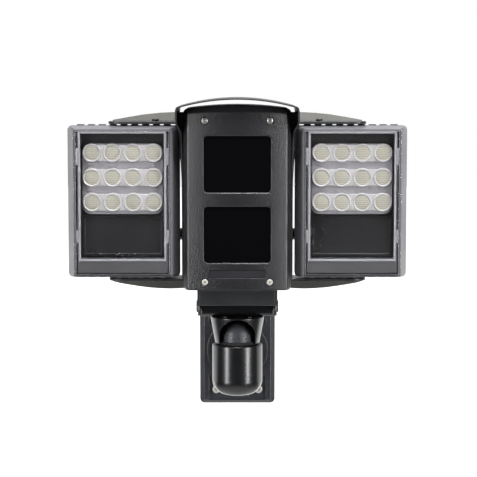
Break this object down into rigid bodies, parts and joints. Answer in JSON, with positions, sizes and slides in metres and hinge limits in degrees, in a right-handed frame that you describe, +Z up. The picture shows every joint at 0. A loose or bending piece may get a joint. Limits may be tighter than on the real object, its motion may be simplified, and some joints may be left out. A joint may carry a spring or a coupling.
{
  "type": "floodlight security camera",
  "caption": "Camera housing with stacked windows and a sunshield between two swivelling LED floodlights, on a pan-and-tilt wall bracket.",
  "frame": {"origin": "centre of the bracket's back face, where it meets the wall", "axes": "+Z up, +Y into the wall, +X to the viewer's right when the viewer faces the windows, which look along -Y"},
  "size_m": [0.4062, 0.235, 0.4034],
  "materials": {
    "cast_black": "gloss",
    "sheet_black": "satin",
    "sheet_grey": "satin",
    "moulded_black": "matte",
    "gloss_black": "gloss",
    "rubber": "matte",
    "steel": "satin",
    "dark_steel": "satin",
    "heat_sink": "matte",
    "clear_cover": "gloss",
    "milky_lens": "satin",
    "lamp_mask": "satin",
    "circuit": "satin"
  },
  "bodies": {
    "wall_bracket": {"wall_gasket": "rubber", "wall_plate": "cast_black", "wall_screw_upper_left": "steel", "wall_screw_upper_right": "steel", "wall_screw_lower_left": "steel", "wall_screw_lower_right": "steel", "bracket_arm": "cast_black", "arm_collar": "rubber", "pan_hub": "moulded_black", "hub_ring": "rubber"},
    "pan_head": {"clamp_cup": "cast_black", "tilt_block": "cast_black", "tilt_washer_left": "steel", "tilt_washer_right": "steel", "tilt_bolt_left": "dark_steel", "tilt_bolt_right": "dark_steel", "cup_bolt_left": "steel", "cup_bolt_right": "steel"},
    "camera_head": {"housing_shell": "cast_black", "rear_cover": "cast_black", "housing_gland": "rubber", "bezel_gasket": "rubber", "front_bezel": "moulded_black", "label_plate": "gloss_black", "window_upper": "gloss_black", "window_lower": "gloss_black", "camera_module_upper": "gloss_black", "camera_module_lower": "gloss_black", "bezel_screw_upper_left": "steel", "bezel_screw_upper_right": "steel", "bezel_screw_lower_left": "steel", "bezel_screw_lower_right": "steel", "chassis_plate": "sheet_grey", "control_board": "circuit", "tilt_channel": "sheet_black", "sunshield": "sheet_black", "shield_screw_left": "dark_steel", "shield_screw_right": "dark_steel", "wing_left": "sheet_grey", "wing_right": "sheet_grey", "wing_bolt_left": "dark_steel", "wing_bolt_right": "dark_steel", "pivot_screw_upper_left": "dark_steel", "pivot_screw_upper_right": "dark_steel", "pivot_screw_lower_left": "dark_steel", "pivot_screw_lower_right": "dark_steel"},
    "left_lamp": {"lamp_body_left": "heat_sink", "lamp_cover_left": "clear_cover", "lamp_gasket_left": "rubber", "lamp_mask_left": "lamp_mask", "lens_array_left": "milky_lens", "led_board_left": "circuit", "lamp_gland_left": "rubber"},
    "right_lamp": {"lamp_body_right": "heat_sink", "lamp_cover_right": "clear_cover", "lamp_gasket_right": "rubber", "lamp_mask_right": "lamp_mask", "lens_array_right": "milky_lens", "led_board_right": "circuit", "lamp_gland_right": "rubber"}
  },
  "joints": [
    {"name": "head_pan", "type": "hinge", "parent": "wall_bracket", "child": "pan_head", "pos_m": [0, -0.16, 0.045], "axis": [0, 0, 1], "range_deg": [-45, 45]},
    {"name": "head_tilt", "type": "hinge", "parent": "pan_head", "child": "camera_head", "pos_m": [0, -0.16, 0.0777], "axis": [1, 0, 0], "range_deg": [-15, 30]},
    {"name": "left_lamp_pan", "type": "hinge", "parent": "camera_head", "child": "left_lamp", "pos_m": [-0.0983, -0.174, 0.2075], "axis": [0, 0, 1], "range_deg": [-20, 6]},
    {"name": "right_lamp_pan", "type": "hinge", "parent": "camera_head", "child": "right_lamp", "pos_m": [0.0983, -0.174, 0.2075], "axis": [0, 0, 1], "range_deg": [-6, 20]}
  ]
}
